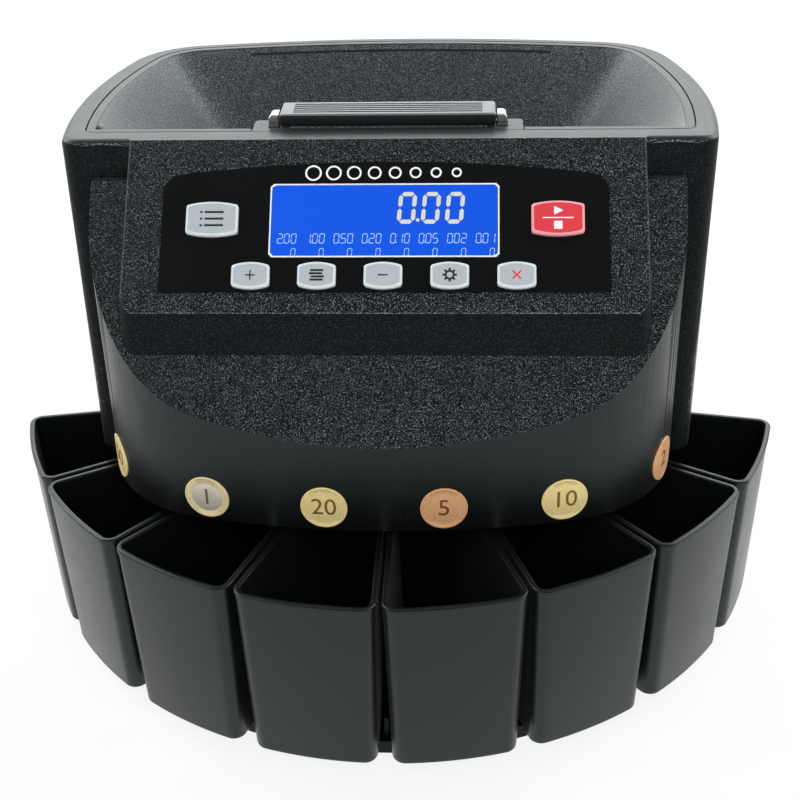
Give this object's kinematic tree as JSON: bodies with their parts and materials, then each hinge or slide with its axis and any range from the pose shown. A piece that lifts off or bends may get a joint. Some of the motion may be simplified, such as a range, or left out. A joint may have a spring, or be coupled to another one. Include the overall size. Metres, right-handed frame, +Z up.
{
  "type": "coin sorting machine",
  "caption": "Desktop coin sorter: hopper and control panel over a spinning disc that drops coins by size into a fan of pull-out cups.",
  "frame": {"origin": "centre of the footprint's bounding box, on the table under the feet", "axes": "+X to the right seen from the front, -Y towards the user (cups and panel), +Z up"},
  "size_m": [0.3682, 0.2916, 0.259],
  "materials": {
    "housing_abs": "black ABS with a coarse spark texture",
    "base_abs": "black ABS, fine texture",
    "hopper_abs": "black ABS, satin",
    "cup_abs": "black ABS, smooth satin",
    "overlay_film": "black printed polycarbonate film",
    "display_lens": "clear acrylic with a white printed border",
    "display_glass": "backlit blue display",
    "key_grey": "light grey silicone",
    "key_red": "red silicone",
    "grip_rubber": "ribbed black rubber",
    "strap_steel": "bright steel",
    "guide_abs": "black ABS",
    "coin_bicolour": "two-tone printed coin",
    "coin_gold": "gold-coloured printed coin",
    "coin_copper": "copper-coloured printed coin",
    "zinc_steel": "zinc-plated steel",
    "ring_abs": "dark grey ABS",
    "circuit_board": "green circuit board",
    "disc_aluminium": "turned aluminium",
    "gear_acetal": "white acetal",
    "motor_steel": "plain steel can",
    "rear_steel": "black powder coat",
    "inlet_nylon": "black nylon",
    "foot_rubber": "black rubber"
  },
  "bodies": {
    "housing": {"upper_housing": "housing_abs", "lower_housing": "base_abs", "base_tray": "base_abs", "tray_ribs": "base_abs", "hopper_bowl": "hopper_abs", "panel_overlay": "overlay_film", "display_window": "display_lens", "display_module": "display_glass", "handle_guide_left": "guide_abs", "handle_guide_right": "guide_abs", "coin_badge_1": "coin_bicolour", "coin_badge_3": "coin_bicolour", "coin_badge_2": "coin_gold", "coin_badge_4": "coin_gold", "coin_badge_6": "coin_gold", "coin_badge_5": "coin_copper", "coin_badge_7": "coin_copper", "coin_badge_8": "coin_copper", "deck_plate": "zinc_steel", "deck_screws": "zinc_steel", "bearing_upper": "zinc_steel", "bearing_lower": "zinc_steel", "sorting_ring": "ring_abs", "ring_fence": "ring_abs", "chute_ring": "ring_abs", "chute_dividers": "ring_abs", "sensor_arc": "circuit_board", "key_board": "circuit_board", "main_board": "circuit_board", "power_supply": "circuit_board", "bearing_hub": "disc_aluminium", "drive_motor": "motor_steel", "rear_panel": "rear_steel", "power_inlet": "inlet_nylon", "switch_body": "inlet_nylon", "rubber_feet": "foot_rubber"},
    "cup_1": {"coin_cup_1": "cup_abs"},
    "cup_2": {"coin_cup_2": "cup_abs"},
    "cup_3": {"coin_cup_3": "cup_abs"},
    "cup_4": {"coin_cup_4": "cup_abs"},
    "cup_5": {"coin_cup_5": "cup_abs"},
    "cup_6": {"coin_cup_6": "cup_abs"},
    "cup_7": {"coin_cup_7": "cup_abs"},
    "cup_8": {"coin_cup_8": "cup_abs"},
    "body_key_report": {"key_report": "key_grey"},
    "body_key_start_stop": {"key_start_stop": "key_red"},
    "body_key_plus": {"key_plus": "key_grey"},
    "body_key_batch": {"key_batch": "key_grey"},
    "body_key_minus": {"key_minus": "key_grey"},
    "body_key_set": {"key_set": "key_grey"},
    "body_key_clear": {"key_clear": "key_grey"},
    "handle": {"handle_grip": "grip_rubber", "handle_strap_left": "strap_steel", "handle_strap_right": "strap_steel"},
    "disc": {"feeder_disc": "disc_aluminium", "disc_shaft": "zinc_steel", "disc_gear": "gear_acetal"},
    "pinion": {"motor_pinion": "gear_acetal"},
    "rocker": {"switch_rocker": "inlet_nylon"}
  },
  "joints": [
    {"name": "cup_1_pull", "type": "slide", "parent": "housing", "child": "cup_1", "axis": [-0.9365, -0.3506, 0], "range_m": [0, 0.07]},
    {"name": "cup_2_pull", "type": "slide", "parent": "housing", "child": "cup_2", "axis": [-0.7618, -0.6478, 0], "range_m": [0, 0.07]},
    {"name": "cup_3_pull", "type": "slide", "parent": "housing", "child": "cup_3", "axis": [-0.4966, -0.868, 0], "range_m": [0, 0.07]},
    {"name": "cup_4_pull", "type": "slide", "parent": "housing", "child": "cup_4", "axis": [-0.1724, -0.985, 0], "range_m": [0, 0.07]},
    {"name": "cup_5_pull", "type": "slide", "parent": "housing", "child": "cup_5", "axis": [0.1724, -0.985, 0], "range_m": [0, 0.07]},
    {"name": "cup_6_pull", "type": "slide", "parent": "housing", "child": "cup_6", "axis": [0.4966, -0.868, 0], "range_m": [0, 0.07]},
    {"name": "cup_7_pull", "type": "slide", "parent": "housing", "child": "cup_7", "axis": [0.7618, -0.6478, 0], "range_m": [0, 0.07]},
    {"name": "cup_8_pull", "type": "slide", "parent": "housing", "child": "cup_8", "axis": [0.9365, -0.3506, 0], "range_m": [0, 0.07]},
    {"name": "key_report_press", "type": "slide", "parent": "housing", "child": "body_key_report", "axis": [0, 0.7193, -0.6947], "range_m": [0, 0.0008], "stiffness_N_per_m": 600},
    {"name": "key_start_stop_press", "type": "slide", "parent": "housing", "child": "body_key_start_stop", "axis": [0, 0.7193, -0.6947], "range_m": [0, 0.0008], "stiffness_N_per_m": 600},
    {"name": "key_plus_press", "type": "slide", "parent": "housing", "child": "body_key_plus", "axis": [0, 0.7193, -0.6947], "range_m": [0, 0.0008], "stiffness_N_per_m": 600},
    {"name": "key_batch_press", "type": "slide", "parent": "housing", "child": "body_key_batch", "axis": [0, 0.7193, -0.6947], "range_m": [0, 0.0008], "stiffness_N_per_m": 600},
    {"name": "key_minus_press", "type": "slide", "parent": "housing", "child": "body_key_minus", "axis": [0, 0.7193, -0.6947], "range_m": [0, 0.0008], "stiffness_N_per_m": 600},
    {"name": "key_set_press", "type": "slide", "parent": "housing", "child": "body_key_set", "axis": [0, 0.7193, -0.6947], "range_m": [0, 0.0008], "stiffness_N_per_m": 600},
    {"name": "key_clear_press", "type": "slide", "parent": "housing", "child": "body_key_clear", "axis": [0, 0.7193, -0.6947], "range_m": [0, 0.0008], "stiffness_N_per_m": 600},
    {"name": "handle_lift", "type": "slide", "parent": "housing", "child": "handle", "axis": [0, 0, 1], "range_m": [0, 0.026]},
    {"name": "disc_spin", "type": "hinge", "parent": "housing", "child": "disc", "pos_m": [0, 0.04277, 0.128], "axis": [0, 0, 1], "continuous": true},
    {"name": "pinion_spin", "type": "hinge", "parent": "housing", "child": "pinion", "pos_m": [0, 0.10577, 0.113], "axis": [0, 0, 1], "continuous": true},
    {"name": "rocker_tilt", "type": "hinge", "parent": "housing", "child": "rocker", "pos_m": [-0.034, 0.13787, 0.058], "axis": [1, 0, 0], "range_deg": [0, 14]}
  ],
  "couplings": [
    {"joint": "pinion_spin", "follows": "disc_spin", "ratio": -6}
  ]
}
